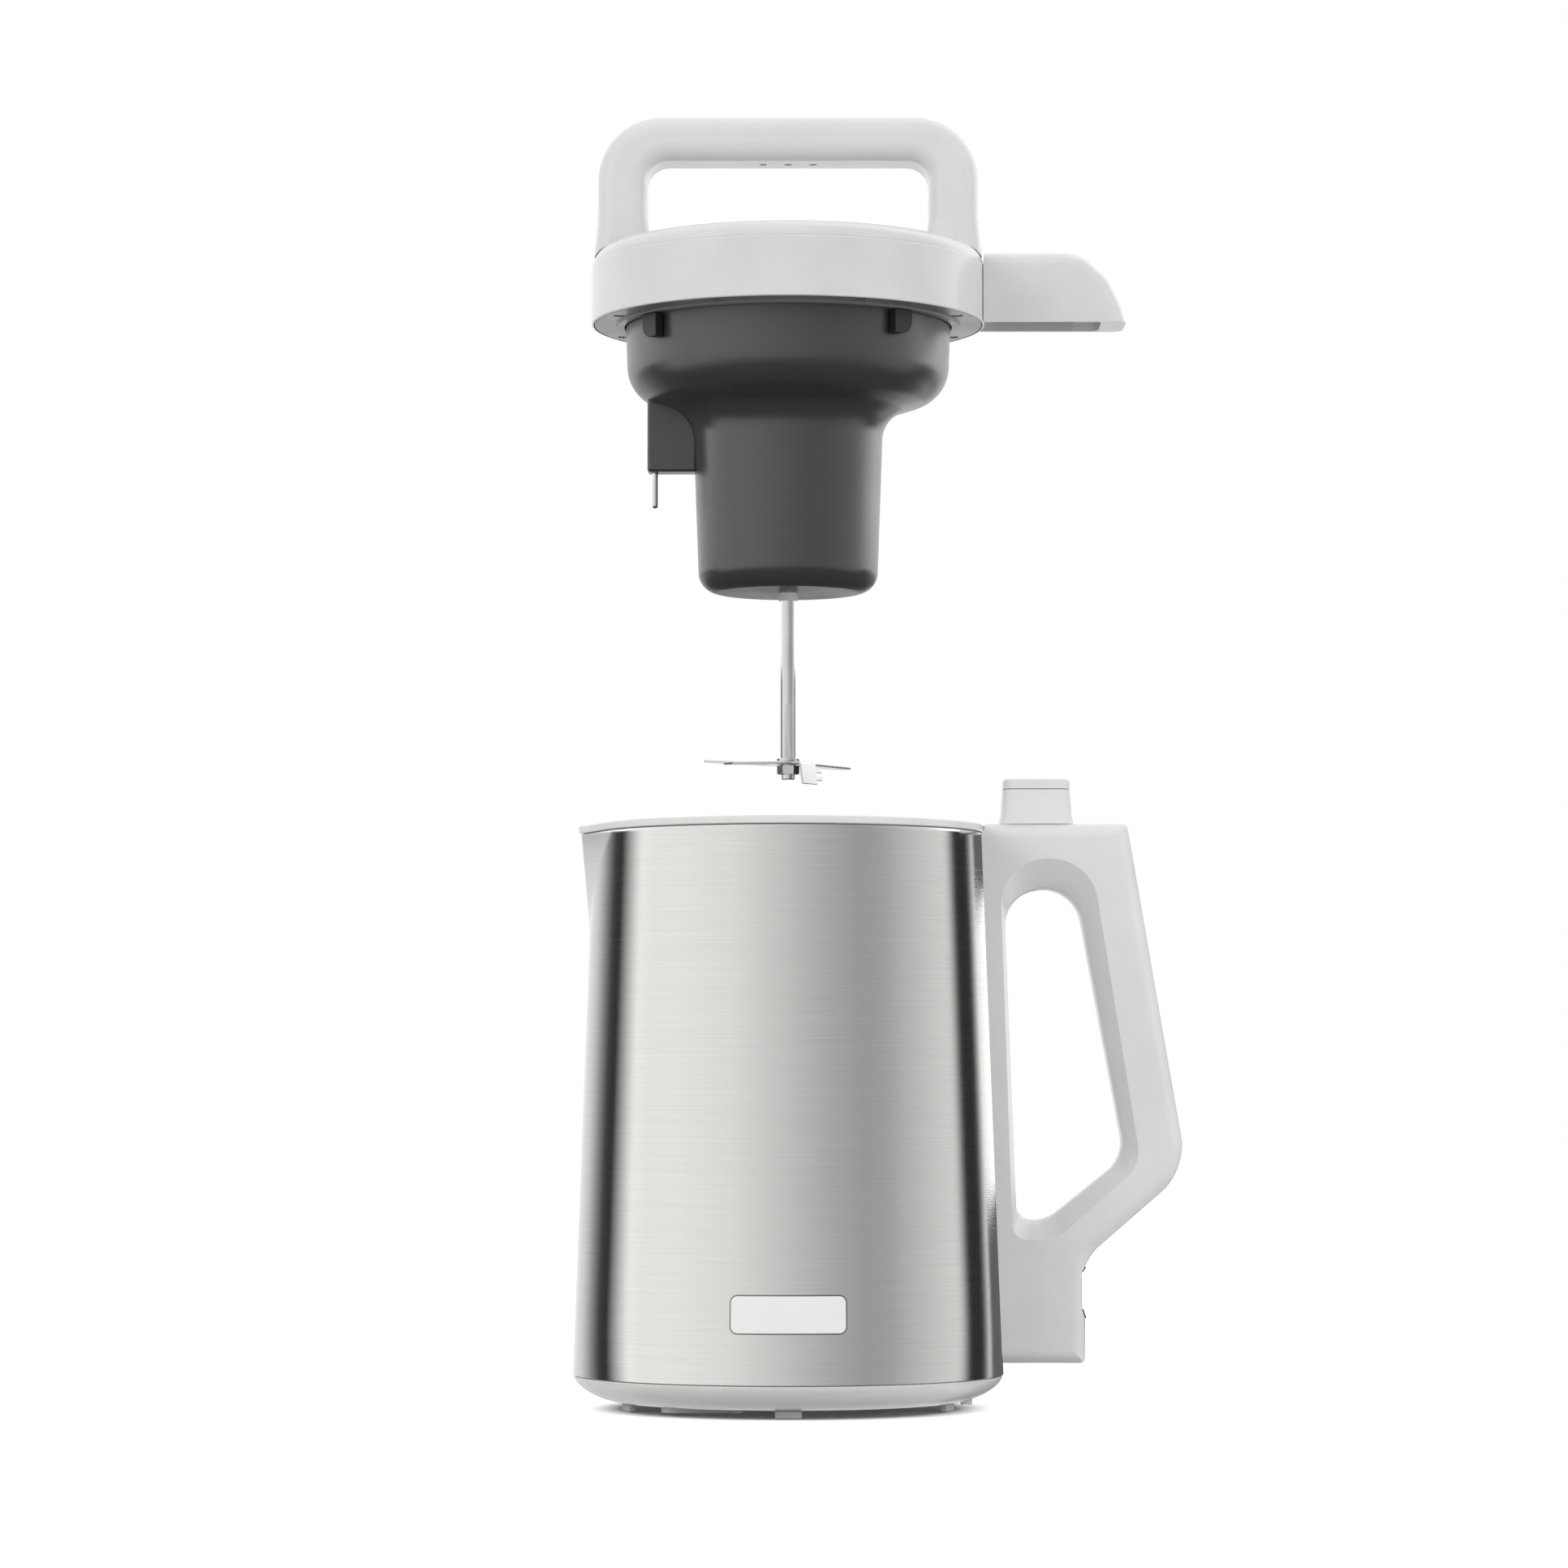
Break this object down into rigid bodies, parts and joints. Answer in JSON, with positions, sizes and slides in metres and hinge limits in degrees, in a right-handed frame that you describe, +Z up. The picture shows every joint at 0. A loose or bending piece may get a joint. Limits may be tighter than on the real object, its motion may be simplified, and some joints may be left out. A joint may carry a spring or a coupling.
{
  "type": "heated jug blender with lift-off motor head",
  "caption": "Heated jug blender: double-walled steel jug with spout, handle and mains inlet, and a lift-off motor head with carry handle, plug-in arm, shaft and blade.",
  "frame": {"origin": "middle of the box's base, on the surface that the jug's feet stand on", "axes": "+Z up; +X from the spout towards the jug's handle; the jug's axis is parallel to Z at x = -0.03412 m, y = 0"},
  "size_m": [0.2332, 0.165, 0.4973],
  "materials": {
    "brushed_steel_wall": "brushed round the wall",
    "bright_steel": "polished",
    "white_plastic": "satin",
    "lid_white": "soft gloss",
    "flange_grey": "satin",
    "dark_grey_plastic": "satin",
    "black_plastic": "satin",
    "panel_gloss": "gloss",
    "button_white": "satin",
    "grey_rubber": "matt",
    "seal_rubber": "matt",
    "cast_aluminium": "cast",
    "element_steel": "oxidised",
    "contact_brass": "plain",
    "circuit_board": "solder mask",
    "motor_steel": "plated",
    "motor_laminations": "plain",
    "rotor_copper": "varnished windings",
    "brush_carbon": "matt",
    "bush_nylon": "plain"
  },
  "bodies": {
    "jug": {"jug_shell": "brushed_steel_wall", "rim_ring": "white_plastic", "inner_bowl": "bright_steel", "base_cover": "white_plastic", "foot_1": "grey_rubber", "foot_2": "grey_rubber", "foot_3": "grey_rubber", "foot_4": "grey_rubber", "foot_5": "grey_rubber", "heater_plate": "cast_aluminium", "heating_element": "element_steel", "thermostat": "black_plastic", "thermal_fuse": "bush_nylon", "jug_handle": "white_plastic", "handle_end_cap": "white_plastic", "mains_inlet": "white_plastic", "inlet_pin_live": "contact_brass", "inlet_pin_neutral": "contact_brass", "inlet_pin_earth": "contact_brass", "connector_post": "white_plastic", "post_cap": "white_plastic", "post_socket_1": "contact_brass", "post_socket_2": "contact_brass", "post_socket_3": "contact_brass"},
    "head": {"lid_band": "lid_white", "lid_top": "lid_white", "flange_plate": "flange_grey", "housing_gasket": "seal_rubber", "motor_housing": "dark_grey_plastic", "level_probe": "bright_steel", "locating_tab_left": "black_plastic", "locating_tab_right": "black_plastic", "connector_arm": "white_plastic", "arm_connector": "black_plastic", "contact_pin_1": "contact_brass", "contact_pin_2": "contact_brass", "contact_pin_3": "contact_brass", "carry_handle": "white_plastic", "control_board": "circuit_board", "control_panel": "panel_gloss", "power_board": "circuit_board", "shaft_bush": "bush_nylon", "motor_buffer": "seal_rubber", "motor_can": "motor_steel", "lower_bearing": "bright_steel", "stator": "motor_laminations", "end_bell": "motor_steel", "upper_bearing": "bright_steel", "carbon_brush_1": "brush_carbon", "carbon_brush_2": "brush_carbon"},
    "button_1": {"button_1": "button_white"},
    "button_2": {"button_2": "button_white"},
    "button_3": {"button_3": "button_white"},
    "spindle": {"rotor": "rotor_copper", "cooling_fan": "black_plastic", "drive_shaft": "bright_steel", "blade": "bright_steel", "blade_washer": "bright_steel", "blade_nut": "bright_steel"}
  },
  "joints": [
    {"name": "head_lift", "type": "slide", "parent": "jug", "child": "head", "axis": [0, 0, 1], "range_m": [-0.1935, 0]},
    {"name": "blade_spin", "type": "hinge", "parent": "head", "child": "spindle", "pos_m": [-0.03412, 0, 0.2445], "axis": [0, 0, 1], "continuous": true},
    {"name": "button_1_press", "type": "slide", "parent": "head", "child": "button_1", "axis": [0, 0, -1], "range_m": [0, 0.0012], "stiffness_N_per_m": 250, "springref_m": -0.0012},
    {"name": "button_2_press", "type": "slide", "parent": "head", "child": "button_2", "axis": [0, 0, -1], "range_m": [0, 0.0012], "stiffness_N_per_m": 250, "springref_m": -0.0012},
    {"name": "button_3_press", "type": "slide", "parent": "head", "child": "button_3", "axis": [0, 0, -1], "range_m": [0, 0.0012], "stiffness_N_per_m": 250, "springref_m": -0.0012}
  ]
}
